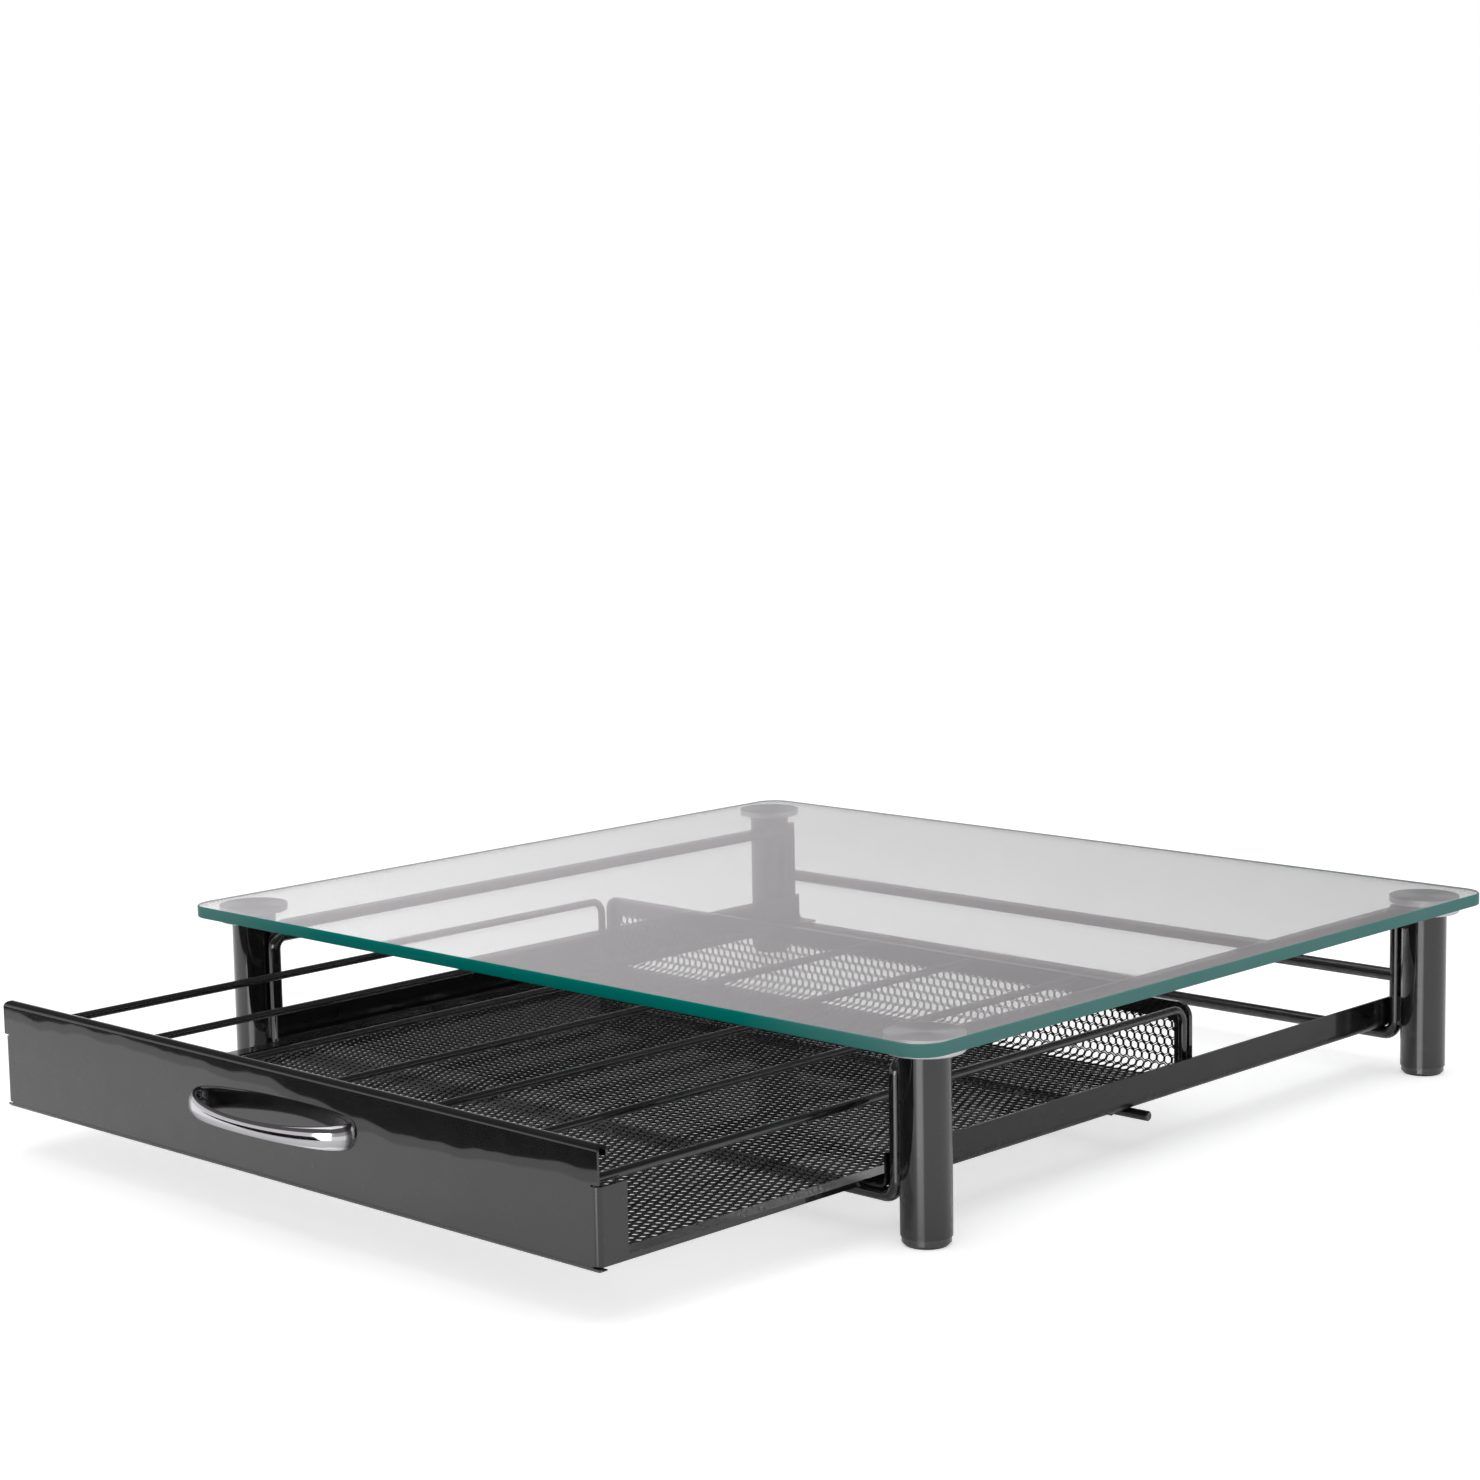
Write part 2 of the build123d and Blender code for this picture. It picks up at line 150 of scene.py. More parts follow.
def settle(piece: bpy.types.Object) -> None:
    """Put a piece's place, turn and scale into its mesh."""
    make_active(piece)
    bpy.ops.object.transform_apply(location=True, rotation=True, scale=True)


def apply_modifier(piece: bpy.types.Object, kind: str, **values: Any) -> None:
    """Add a modifier with its values and apply it."""
    make_active(piece)
    modifier = piece.modifiers.new(kind.title(), kind)
    for key, value in values.items():
        setattr(modifier, key, value)
    bpy.ops.object.modifier_apply(modifier=modifier.name)


def edit(piece: bpy.types.Object, domain: Domain, test: Callable[[Sequence[Vector]], bool]) -> None:
    """Enter edit mode with only what passes a test selected.

    Args:
        piece: The mesh object to edit.
        domain: Edges or faces.
        test: Tells from the corners of an element whether it is selected.
    """
    make_active(piece)
    mesh = piece.data
    bpy.context.tool_settings.mesh_select_mode = domain.value
    for group in (mesh.vertices, mesh.edges, mesh.polygons):
        group.foreach_set("select", [False] * len(group))
    elements = mesh.edges if domain is Domain.EDGE else mesh.polygons
    for element in elements:
        if test([mesh.vertices[i].co for i in element.vertices]):
            element.select = True
    bpy.ops.object.mode_set(mode="EDIT")


def leave_edit() -> None:
    """Go back to object mode."""
    bpy.ops.object.mode_set(mode="OBJECT")


def move_points(piece: bpy.types.Object, place: Callable[[Vector], Vector]) -> None:
    """Move every vertex of a piece to the place a function gives."""
    for vertex in piece.data.vertices:
        vertex.co = place(vertex.co)
    piece.data.update()


def smooth(piece: bpy.types.Object, angle_deg: float) -> None:
    """Shade a piece smooth, with edges sharper than an angle kept."""
    make_active(piece)
    bpy.ops.object.shade_smooth_by_angle(angle=math.radians(angle_deg))


def hand_over(piece: bpy.types.Object, body: Body, slot: Slot, nodes: Sequence[str]) -> None:
    """Let a piece ride on its body in place of the solids it stands for.

    Args:
        piece: The finished piece.
        body: The body that carries it.
        slot: The material slot of the record; not used.
        nodes: The solids that it replaces.
    """
    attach(piece, body.value)
    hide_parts(*nodes)
    mesh = piece.data
    mesh.calc_loop_triangles()
    log.info("%s: %d triangles on %s", piece.name, len(mesh.loop_triangles), body.value)


def dress_node(name: str, material: bpy.types.Material) -> None:
    """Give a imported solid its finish."""
    for slot in frame["nodes"][name].material_slots:
        slot.material = material
    log.info("%s: %s", name, material.name)


def dress_slot(slot: Slot, material: bpy.types.Material) -> None:
    """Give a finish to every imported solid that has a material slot.

    Args:
        slot: The material slot of the record.
        material: The finish.
    """
    for part in frame["record"]["subparts"]:
        if part["material_slot"] == slot.value:
            dress_node(part["node"], material)


def new_material(name: str) -> bpy.types.Material:
    """Start an empty node-based material."""
    material = bpy.data.materials.new(name)
    material.use_nodes = True
    material.node_tree.nodes.clear()
    return material


def map_range(
    tree: bpy.types.NodeTree, source: Output, start: Pair = (0.0, 1.0), end: Pair = (0.0, 1.0)
) -> bpy.types.Node:
    """Carry a value from one span of numbers to another.

    Args:
        tree: The node tree that takes the node.
        source: Node and output that give the value.
        start: Lowest and highest value that comes in.
        end: What these two turn into.

    Returns:
        A node whose first value is the carried one.
    """
    settings = {"From Min": start[0], "From Max": start[1], "To Min": end[0], "To Max": end[1]}
    return add_node(tree, "ShaderNodeMapRange", settings, {"Value": source})


class Finish:
    """A material in the making, with the nodes that most finishes share."""

    def __init__(self, name: str) -> None:
        """Start the material.

        Args:
            name: Name of the material.
        """
        self.material = new_material(name)
        self.tree = self.material.node_tree
        self.place = add_node(self.tree, "ShaderNodeTexCoord")

    def grain(self, size_mm: float, kind: str = "Noise", **settings: float) -> bpy.types.Node:
        """Add a pattern that stays with the piece.

        Args:
            size_mm: Width of one grain.
            kind: Noise, or Voronoi for crystals.
            settings: More inputs of the pattern with their values.

        Returns:
            A node whose first value is the pattern.
        """
        return add_node(
            self.tree,
            f"ShaderNodeTex{kind}",
            {"Scale": 1 / (size_mm * MM), **settings},
            {"Vector": (self.place, "Object")},
        )

    def blend(self, share: bpy.types.Node, first: str, second: str) -> bpy.types.Node:
        """Blend two colours.

        Args:
            share: Node whose first value is the share of the second colour.
            first: Colour where that value is 0.
            second: Colour where it is 1.

        Returns:
            A node whose output 2 is the blended colour.
        """
        return add_node(
            self.tree,
            "ShaderNodeMix",
            {"data_type": "RGBA", 6: linear(first), 7: linear(second)},
            {0: (share, 0)},
        )

    def bump(self, pattern: bpy.types.Node, strength: float, rise_mm: float) -> bpy.types.Node:
        """Turn a pattern into hills and hollows.

        Args:
            pattern: Node whose first value is the height.
            strength: How much of it shows.
            rise_mm: Height of a hill where the value is 1.

        Returns:
            A node whose first value is the bent normal.
        """
        return add_node(
            self.tree,
            "ShaderNodeBump",
            {"Strength": strength, "Distance": rise_mm * MM},
            {"Height": (pattern, 0)},
        )

    def surface(self, settings: Settings, links: Links) -> bpy.types.Material:
        """Add the surface and so end the material.

        Args:
            settings: Input sockets of the surface with their values.
            links: Input sockets with the node and output that feed them.

        Returns:
            The finished material.
        """
        shader = add_node(self.tree, "ShaderNodeBsdfPrincipled", settings, links)
        add_node(self.tree, "ShaderNodeOutputMaterial", None, {"Surface": (shader, 0)})
        return self.material


@dataclass(frozen=True)
class BakedEnamel:
    """Black stoving enamel on steel: deep black under a hard, glassy skin."""

    name: str = "black_baked_enamel"
    body: str = "#0b0a0b"
    thin: str = "#141314"
    roughness: Pair = (0.255, 0.375)
    skin_roughness: float = 0.03
    skin_weight: float = 1.0
    peel_mm: float = 9.0
    wave_mm: float = 30.0
    wave_rise_mm: float = 1.0
    wave_strength: float = 0.0

    def build(self) -> bpy.types.Material:
        """Make the enamel: orange peel in its gloss, and slow waves where sheet is bent.

        Returns:
            The material.
        """
        finish = Finish(self.name)
        # Real orange peel is 1 to 2 mm wide, drawn coarser so that it shows.
        peel = finish.grain(self.peel_mm, Detail=2.0, Roughness=0.4)
        wave = finish.grain(self.wave_mm, Detail=1.0, Roughness=0.4)
        tint = finish.blend(wave, self.body, self.thin)
        rough = map_range(finish.tree, (peel, 0), NOISE_SPAN, self.roughness)
        bent = finish.bump(wave, self.wave_strength, self.wave_rise_mm)
        return finish.surface(
            {
                "IOR": 1.5,
                "Specular IOR Level": 0.15,
                "Coat Weight": self.skin_weight,
                "Coat Roughness": self.skin_roughness,
                "Coat IOR": 1.7,
            },
            {
                "Base Color": (tint, 2),
                "Roughness": (rough, 0),
                "Normal": (bent, 0),
                "Coat Normal": (bent, 0),
            },
        )


@dataclass(frozen=True)
class ChromePlate:
    """Bright chrome over polished zinc: a near mirror, faintly wavy from buffing."""

    name: str = "bright_chrome_plate"
    metal: str = "#dcdbdd"
    haze: str = "#cfced2"
    roughness: Pair = (0.054, 0.144)
    buff_mm: float = 9.0
    buff_rise_mm: float = 0.2
    buff_strength: float = 0.04

    def build(self) -> bpy.types.Material:
        """Make the chrome.

        Returns:
            The material.
        """
        finish = Finish(self.name)
        buff = finish.grain(self.buff_mm, Detail=3.0)
        tint = finish.blend(buff, self.metal, self.haze)
        rough = map_range(finish.tree, (buff, 0), end=self.roughness)
        wavy = finish.bump(buff, self.buff_strength, self.buff_rise_mm)
        return finish.surface(
            {"Metallic": 1.0},
            {"Base Color": (tint, 2), "Roughness": (rough, 0), "Normal": (wavy, 0)},
        )


@dataclass(frozen=True)
class TurnedAluminium:
    """Aluminium disc faced on a lathe: its grooves spread light as a bow tie."""

    name: str = "turned_aluminium"
    metal: str = "#e4e4e6"
    groove: str = "#cfd0d2"
    roughness: float = 0.38
    spread: float = 0.85
    speck_mm: float = 0.8

    def build(self) -> bpy.types.Material:
        """Make the turned metal, which shines round each disc's own middle.

        Returns:
            The material.
        """
        finish = Finish(self.name)
        speck = finish.grain(self.speck_mm, Detail=2.0)
        tint = finish.blend(speck, self.metal, self.groove)
        around = add_node(
            finish.tree, "ShaderNodeTangent", {"direction_type": "RADIAL", "axis": "Z"}
        )
        return finish.surface(
            {"Metallic": 1.0, "Roughness": self.roughness, "Anisotropic": self.spread},
            {"Base Color": (tint, 2), "Tangent": (around, 0)},
        )


@dataclass(frozen=True)
class FloatGlass:
    """Clear tempered float glass: almost colourless through its 5 mm."""

    name: str = "clear_float_glass"
    tint: str = "#f8faf9"
    roughness: Pair = (0.0, 0.02)
    smear_mm: float = 60.0
    smear_span: Pair = (0.35, 0.75)

    def build(self) -> bpy.types.Material:
        """Make the clear glass, with a trace of wiping haze in its gloss.

        Returns:
            The material.
        """
        finish = Finish(self.name)
        smear = finish.grain(self.smear_mm, Detail=3.0)
        rough = map_range(finish.tree, (smear, 0), self.smear_span, self.roughness)
        return finish.surface(
            {
                "Base Color": linear(self.tint),
                "IOR": 1.52,
                "Transmission Weight": 1.0,
                "Coat Weight": 1.0,
                "Coat Roughness": 0.0,
                "Coat IOR": 1.5,
            },
            {"Roughness": (rough, 0)},
        )


@dataclass(frozen=True)
class GlassEdge:
    """Ground and polished glass edge: deep sea green from the long way through."""

    name: str = "polished_glass_edge"
    deep: str = "#008077"
    pale: str = "#5d8985"
    roughness: float = 0.12
    gloss: float = 0.02
    streak_mm: float = 26.0
    streak_share: float = 0.5
    deep_half_mm: float = 120.0
    half_width_mm: float = 212.0
    fade: Pair = (0.28, 1.3)

    def build(self) -> bpy.types.Material:
        """Make the edge, deeper in the middle where light comes a longer way.

        Returns:
            The material.
        """
        finish = Finish(self.name)
        tree = finish.tree
        across = add_node(tree, "ShaderNodeSeparateXYZ", None, {0: (finish.place, "Object")})
        aside = add_node(tree, "ShaderNodeMath", {"operation": "ABSOLUTE"}, {0: (across, 0)})
        reach = (self.deep_half_mm * MM, self.half_width_mm * MM)
        share = map_range(tree, (aside, 0), reach)
        streak = finish.grain(self.streak_mm, Detail=2.0)
        mixed = add_node(
            tree,
            "ShaderNodeMath",
            {"operation": "MULTIPLY_ADD", 1: self.streak_share},
            {0: (streak, 0), 2: (share, 0)},
        )
        tint = finish.blend(map_range(tree, (mixed, 0), self.fade), self.deep, self.pale)
        return finish.surface(
            {"Roughness": self.roughness, "IOR": 1.52, "Specular IOR Level": self.gloss},
            {"Base Color": (tint, 2)},
        )


@dataclass(frozen=True)
class MouldedPlastic:
    """Black glossy plastic plug, injection moulded: even, faintly grained."""

    name: str = "black_moulded_plastic"
    body: str = "#121112"
    scuff: str = "#1b1a1b"
    roughness: float = 0.3
    skin_roughness: float = 0.08
    grain_mm: float = 0.9
    grain_rise_mm: float = 0.05
    grain_strength: float = 0.06

    def build(self) -> bpy.types.Material:
        """Make the plastic.

        Returns:
            The material.
        """
        finish = Finish(self.name)
        grain = finish.grain(self.grain_mm, Detail=3.0)
        tint = finish.blend(grain, self.body, self.scuff)
        grained = finish.bump(grain, self.grain_strength, self.grain_rise_mm)
        return finish.surface(
            {
                "Roughness": self.roughness,
                "IOR": 1.5,
                "Coat Weight": 1.0,
                "Coat Roughness": self.skin_roughness,
                "Coat IOR": 1.7,
            },
            {"Base Color": (tint, 2), "Normal": (grained, 0)},
        )


@dataclass(frozen=True)
class ZincPlate:
    """Zinc-plated steel studs and screws: pale grey with a dull, mottled shine."""

    name: str = "zinc_plated_steel"
    metal: str = "#b7b9bc"
    spangle: str = "#8f9296"
    roughness: Pair = (0.28, 0.42)
    grain_mm: float = 1.2

    def build(self) -> bpy.types.Material:
        """Make the zinc plate.

        Returns:
            The material.
        """
        finish = Finish(self.name)
        grain = finish.grain(self.grain_mm, kind="Voronoi")
        tint = finish.blend(grain, self.metal, self.spangle)
        rough = map_range(finish.tree, (grain, 0), end=self.roughness)
        return finish.surface(
            {"Metallic": 1.0},
            {"Base Color": (tint, 2), "Roughness": (rough, 0)},
        )


@dataclass
class GlassTop:
    """The plate of the stand, with round corners and a polished edge."""

    corner_mm: float = 11.5
    bevel_mm: float = 0.6
    bond_mm: float = 0.02
    corner_steps: int = 20
    bevel_steps: int = 3
    smooth_deg: float = 25.0

    def build(self, clear: bpy.types.Material, edge: bpy.types.Material) -> None:
        """Model the plate in the place of its solid.

        Args:
            clear: Finish of the two faces.
            edge: Finish of the rim and its bevels.
        """
        low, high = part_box("glass_top")
        # The discs are bonded on, so their tops lie just inside the glass.
        low = low - Vector((0, 0, self.bond_mm * MM))
        deselect_all()
        bpy.ops.mesh.primitive_cube_add(size=1, location=(low + high) / 2, scale=high - low)
        plate = bpy.context.object
        plate.name = "glass_plate"
        settle(plate)
        edit(plate, Domain.EDGE, lambda ends: abs(ends[0].z - ends[1].z) > LEVEL)
        bpy.ops.mesh.bevel(offset=self.corner_mm * MM, segments=self.corner_steps, profile=0.5)
        leave_edit()
        edit(plate, Domain.EDGE, lambda ends: abs(ends[0].z - ends[1].z) < LEVEL)
        bpy.ops.mesh.bevel(offset=self.bevel_mm * MM, segments=self.bevel_steps, profile=0.5)
        leave_edit()
        plate.data.materials.append(clear)
        plate.data.materials.append(edge)
        for face in plate.data.polygons:
            face.material_index = 0 if abs(face.normal.z) > LEVEL_FACE else 1
        smooth(plate, self.smooth_deg)
        for face in plate.data.polygons:
            face.use_smooth = face.material_index == 1
        # The clear plate lets the light through to the basket below.
        plate.visible_shadow = False
        hand_over(plate, Body.STAND, Slot.GLASS, ["glass_top"])


@dataclass
class ExpandedNet:
    """Fine hexagonal expanded sheet of the basket: floor, rear bend and back wall."""

    pitch_mm: float = 3.75
    row_mm: float = 3.7
    strand_mm: float = 0.68
    thickness_mm: float = 0.7
    bend_radius_mm: float = 7.0
    tuck_mm: float = 2.5
    merge_mm: float = 0.02

    def __post_init__(self) -> None:
        """Work out where the three stretches of the sheet run."""
        floor_low, floor_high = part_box("basket_floor_net")
        back_low, back_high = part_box("basket_back_net")
        self.half_width = floor_high.x - self.tuck_mm * MM
        self.front = floor_low.y + self.tuck_mm * MM
        self.bend_start = floor_high.y
        self.level = (floor_low.z + floor_high.z) / 2
        self.radius = self.bend_radius_mm * MM
        self.bend_length = math.pi / 2 * self.radius
        self.wall_start = self.bend_start + self.bend_length
        wall_height = back_high.z - self.tuck_mm * MM - (self.level + self.radius)
        self.top = self.wall_start + wall_height

    def wrap(self, point: Vector) -> Vector:
        """Carry a point of the flat sheet to its place round the rear bend.

        Args:
            point: Place on the flat sheet, with z as its offset from the middle.

        Returns:
            The place in the basket.
        """
        along = point.y - self.bend_start
        if along <= 0:
            return Vector((point.x, point.y, self.level + point.z))
        if along < self.bend_length:
            angle = along / self.radius
            reach = self.radius - point.z
            return Vector(
                (
                    point.x,
                    self.bend_start + reach * math.sin(angle),
                    self.level + self.radius - reach * math.cos(angle),
                )
            )
        rise = along - self.bend_length
        return Vector(
            (
                point.x,
                self.bend_start + self.radius - point.z,
                self.level + self.radius + rise,
            )
        )

    def flat_sheet(self) -> bpy.types.Object:
        """Model one cell, repeat it over the whole sheet and trim it.

        Returns:
            The flat sheet of open cells, still without thickness.
        """
        row = self.row_mm * MM
        pitch = self.pitch_mm * MM
        stretch = row / (pitch * math.sqrt(3) / 2)
        columns = math.ceil(2 * self.half_width / pitch) + 2
        pairs = math.ceil((self.top - self.front) / (2 * row)) + 2
        start = (-columns / 2 * pitch, self.front - 2 * row, 0)
        deselect_all()
        bpy.ops.mesh.primitive_circle_add(
            vertices=6,
            radius=pitch / math.sqrt(3),
            fill_type="NGON",
            location=start,
            scale=(1, stretch, 1),
        )
        sheet = bpy.context.object
        sheet.name = "net_sheet"
        settle(sheet)
        edit(sheet, Domain.FACE, lambda corners: True)
        bpy.ops.mesh.inset(thickness=self.strand_mm / 2 * MM)
        bpy.ops.mesh.delete(type="FACE")
        leave_edit()
        offsets = ((2, (pitch / 2, row, 0)), (columns, (pitch, 0, 0)), (pairs, (0, 2 * row, 0)))
        for count, offset in offsets:
            apply_modifier(
                sheet,
                "ARRAY",
                count=count,
                use_relative_offset=False,
                use_constant_offset=True,
                constant_offset_displace=offset,
                use_merge_vertices=True,
                merge_threshold=self.merge_mm * MM,
            )
        return sheet

    def cut_piece(
        self, sheet: bpy.types.Object, name: str, low: Pair, high: Pair
    ) -> bpy.types.Object:
        """Cut one stretch out of a copy of the sheet, thicken and bend it.

        Args:
            sheet: The flat sheet.
            name: Name of the new piece.
            low: Lowest x and y of the stretch on the flat sheet.
            high: Highest x and y of the stretch on the flat sheet.

        Returns:
            The finished stretch, without its finish.
        """
        piece = sheet.copy()
        piece.data = sheet.data.copy()
        piece.name = name
        bpy.context.scene.collection.objects.link(piece)
        for axis in (0, 1):
            normal = Vector((1 - axis, axis, 0))
            for limit, side in ((high[axis], "clear_outer"), (low[axis], "clear_inner")):
                edit(piece, Domain.FACE, lambda corners: True)
                bpy.ops.mesh.bisect(plane_co=normal * limit, plane_no=normal, **{side: True})
                leave_edit()
        apply_modifier(piece, "SOLIDIFY", thickness=self.thickness_mm * MM, offset=0.0)
        move_points(piece, self.wrap)
        return piece

    def build(self, enamel: bpy.types.Material) -> None:
        """Model the net of the basket in the place of its three solids.

        Args:
            enamel: Finish of the net.
        """
        sheet = self.flat_sheet()
        side, front, top = self.half_width, self.front, self.top
        bend, wall = self.bend_start, self.wall_start
        cuts = (
            ("floor_net_left", (-side, front), (0.0, bend), ["basket_floor_net"]),
            ("floor_net_right", (0.0, front), (side, bend), ["basket_floor_net"]),
            ("corner_net", (-side, bend), (side, wall), ["basket_corner_net"]),
            ("back_net", (-side, wall), (side, top), ["basket_back_net"]),
        )
        for name, low, high, nodes in cuts:
            piece = self.cut_piece(sheet, name, low, high)
            piece.data.materials.append(enamel)
            hand_over(piece, Body.DRAWER, Slot.PAINT, nodes)
        bpy.data.objects.remove(sheet)


@dataclass
class BowHandle:
    """The chrome bow on the drawer front: a half-moon bar on half an ellipse."""

    half_span_mm: float = 45.0
    reach_mm: float = 16.0
    end_height_mm: float = 9.6
    mid_height_mm: float = 5.7
    end_thickness_mm: float = 4.6
    mid_thickness_mm: float = 2.8
    flat_back: float = 0.84
    section_points: int = 40
    steps: int = 96
    ring: float = 0.1
    ring_end: float = 1e-5
    smooth_deg: float = 40.0

    def place(self, point: Vector) -> Vector:
        """Carry a point of a plain half ring to the bow.

        Args:
            point: Place on a half ring of radius 1 whose round section is much thinner.

        Returns:
            The place on the bow, in metres.
        """
        angle = math.atan2(abs(point.y), point.x)
        share = math.cos(angle) ** 2
        height = self.mid_height_mm + (self.end_height_mm - self.mid_height_mm) * share
        thick = self.mid_thickness_mm + (self.end_thickness_mm - self.mid_thickness_mm) * share
        outward = (math.hypot(point.x, point.y) - 1) / self.ring
        depth = thick * min((1 - outward) / 2, self.flat_back)
        outer = Vector((self.half_span_mm * math.cos(angle), -self.reach_mm * math.sin(angle), 0))
        along = Vector((-self.half_span_mm * math.sin(angle), -self.reach_mm * math.cos(angle), 0))
        inward = along.normalized().cross(Vector((0, 0, 1)))
        rise = point.z / self.ring * height / 2
        return (outer + inward * depth + Vector((0, 0, rise))) * MM + self.middle

    def build(self, chrome: bpy.types.Material) -> None:
        """Model the bow in the place of its solid.

        Args:
            chrome: Finish of the bow.
        """
        low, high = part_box("drawer_handle")
        panel_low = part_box("drawer_front")[0]
        self.middle = Vector((0, panel_low.y, (low.z + high.z) / 2))
        deselect_all()
        bpy.ops.mesh.primitive_circle_add(
            vertices=self.section_points,
            radius=self.ring,
            fill_type="NOTHING",
            location=(1, 0, 0),
            rotation=(math.pi / 2, 0, 0),
        )
        bow = bpy.context.object
        bow.name = "bow_handle"
        settle(bow)
        edit(bow, Domain.EDGE, lambda ends: True)
        bpy.ops.mesh.spin(
            steps=self.steps, angle=math.pi, center=(0, 0, 0), axis=(0, 0, -1), dupli=False
        )
        leave_edit()
        edit(bow, Domain.EDGE, lambda ends: all(abs(end.y) < self.ring_end for end in ends))
        bpy.ops.mesh.edge_face_add()
        leave_edit()
        move_points(bow, self.place)
        edit(bow, Domain.FACE, lambda corners: True)
        bpy.ops.mesh.normals_make_consistent(inside=False)
        leave_edit()
        bow.data.materials.append(chrome)
        smooth(bow, self.smooth_deg)
        hand_over(bow, Body.DRAWER, Slot.CHROME, ["drawer_handle"])


@dataclass
class PhotoCamera:
    """The camera of the photograph."""

    place: Point = (0.89595, -0.92065, 0.32984)
    azimuth_deg: float = 43.861
    elevation_deg: float = 7.799
    roll_deg: float = -1.027
    lens_mm: float = 76.53
    sensor_mm: float = 36.0
    near: float = 0.01
    far: float = 100.0

    def build(self) -> None:
        """Set up the camera and make it the scene's own."""
        azimuth, elevation = math.radians(self.azimuth_deg), math.radians(self.elevation_deg)
        back = Vector(
            (
                math.sin(azimuth) * math.cos(elevation),
                -math.cos(azimuth) * math.cos(elevation),
                math.sin(elevation),
            )
        )
        level = Vector((0, 0, 1)).cross(back).normalized()
        upright = back.cross(level)
        roll = math.radians(self.roll_deg)
        right = level * math.cos(roll) + upright * math.sin(roll)
        up = upright * math.cos(roll) - level * math.sin(roll)
        data = bpy.data.cameras.new("photo_camera")
        data.lens = self.lens_mm
        data.sensor_width = self.sensor_mm
        data.clip_start = self.near
        data.clip_end = self.far
        camera = bpy.data.objects.new("photo_camera", data)
        bpy.context.scene.collection.objects.link(camera)
        turn = Matrix((right, up, back)).transposed().to_4x4()
        camera.matrix_world = Matrix.Translation(self.place) @ turn
        bpy.context.scene.camera = camera


@dataclass(frozen=True)
class Softbox:
    """One soft studio lamp."""

    name: str
    place: Point
    aim: Point
    size: Pair
    watts: float

    def build(self) -> None:
        """Hang the lamp and turn it to its aim."""
        data = bpy.data.lights.new(self.name, "AREA")
        data.shape = "RECTANGLE"
        data.size, data.size_y = self.size
        data.energy = self.watts
        lamp = bpy.data.objects.new(self.name, data)
        bpy.context.scene.collection.objects.link(lamp)
        lamp.location = self.place
        toward = Vector(self.aim) - Vector(self.place)
        lamp.rotation_euler = toward.to_track_quat("-Z", "Y").to_euler()


@dataclass(frozen=True)
class StudioCard:
    """A card on the floor that only shows as a mirror image in the gloss."""

    name: str
    colour: str
    outline: tuple[Pair, ...]
    lift: float = 2 * MM

    def build(self) -> None:
        """Lay the card."""
        material = new_material(self.name)
        tree = material.node_tree
        paint = add_node(tree, "ShaderNodeBsdfDiffuse", {"Color": linear(self.colour)})
        add_node(tree, "ShaderNodeOutputMaterial", None, {"Surface": (paint, 0)})
        deselect_all()
        bpy.ops.mesh.primitive_circle_add(vertices=len(self.outline), fill_type="NGON")
        card = bpy.context.object
        card.name = self.name
        for vertex, (x, y) in zip(card.data.vertices, self.outline):
            vertex.co = (x, y, self.lift)
        card.data.materials.append(material)
        card.visible_camera = False
        card.visible_diffuse = False
        card.visible_transmission = False
        card.visible_shadow = False


@dataclass(frozen=True)
class WallStretch:
    """How bright mirrors see the studio in one direction along its walls."""

    azimuth_deg: float
    level: float


@dataclass(frozen=True)
class CeilingRing:
    """How bright mirrors see the ceiling at one steepness, 1 being straight up."""

    steepness: float
    level: float


